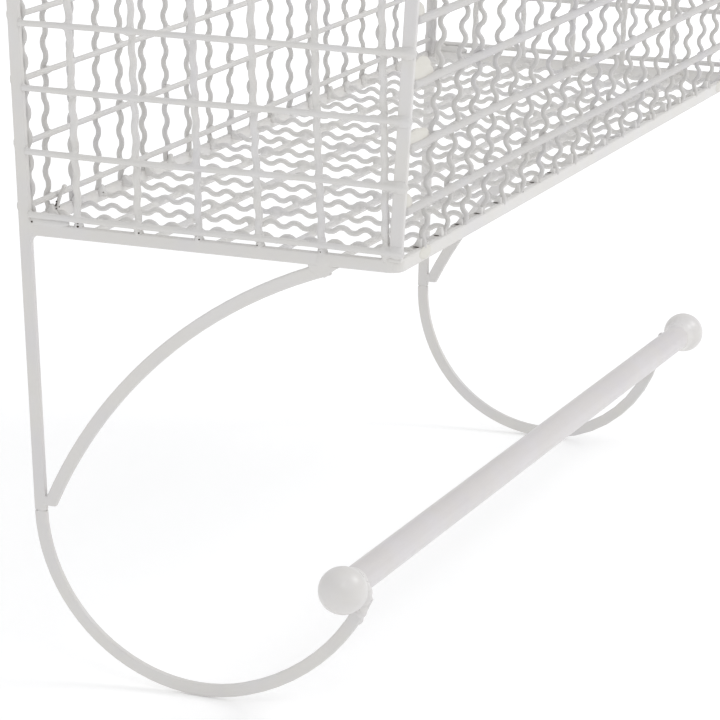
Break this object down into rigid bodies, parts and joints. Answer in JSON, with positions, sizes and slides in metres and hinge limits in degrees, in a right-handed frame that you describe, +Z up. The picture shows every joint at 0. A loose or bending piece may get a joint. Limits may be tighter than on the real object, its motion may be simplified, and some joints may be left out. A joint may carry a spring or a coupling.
{
  "type": "wire wall basket with towel rail",
  "caption": "Painted wire wall basket with an open top, a woven crimped-wire body and a round towel rail held below it on two curved hooks.",
  "frame": {"origin": "the middle of the bottom back rail's rear face, on the wall plane", "axes": "+X along the basket, +Y into the wall, +Z up; the room is at -Y"},
  "size_m": [0.56, 0.2172, 0.4291],
  "materials": {
    "frame_enamel": "thick glossy off-white enamel on flat steel bar, runs and blobs at the welds",
    "wire_enamel": "thick off-white enamel on crimped and straight steel wire, dark specks at the cut ends",
    "rail_enamel": "smooth glossy off-white enamel"
  },
  "bodies": {
    "root": {"left_back_post": "frame_enamel", "right_back_post": "frame_enamel", "left_front_post": "frame_enamel", "right_front_post": "frame_enamel", "bottom_hoop": "frame_enamel", "top_hoop": "frame_enamel", "bottom_back_rail": "frame_enamel", "top_back_rail": "frame_enamel", "left_brace": "frame_enamel", "right_brace": "frame_enamel", "left_hook": "frame_enamel", "right_hook": "frame_enamel", "left_hanger_tab": "frame_enamel", "right_hanger_tab": "frame_enamel", "floor_mesh": "wire_enamel", "front_mesh": "wire_enamel", "back_mesh": "wire_enamel", "left_end_mesh": "wire_enamel", "right_end_mesh": "wire_enamel", "towel_rail": "rail_enamel", "left_ball": "rail_enamel", "right_ball": "rail_enamel"}
  },
  "joints": []
}
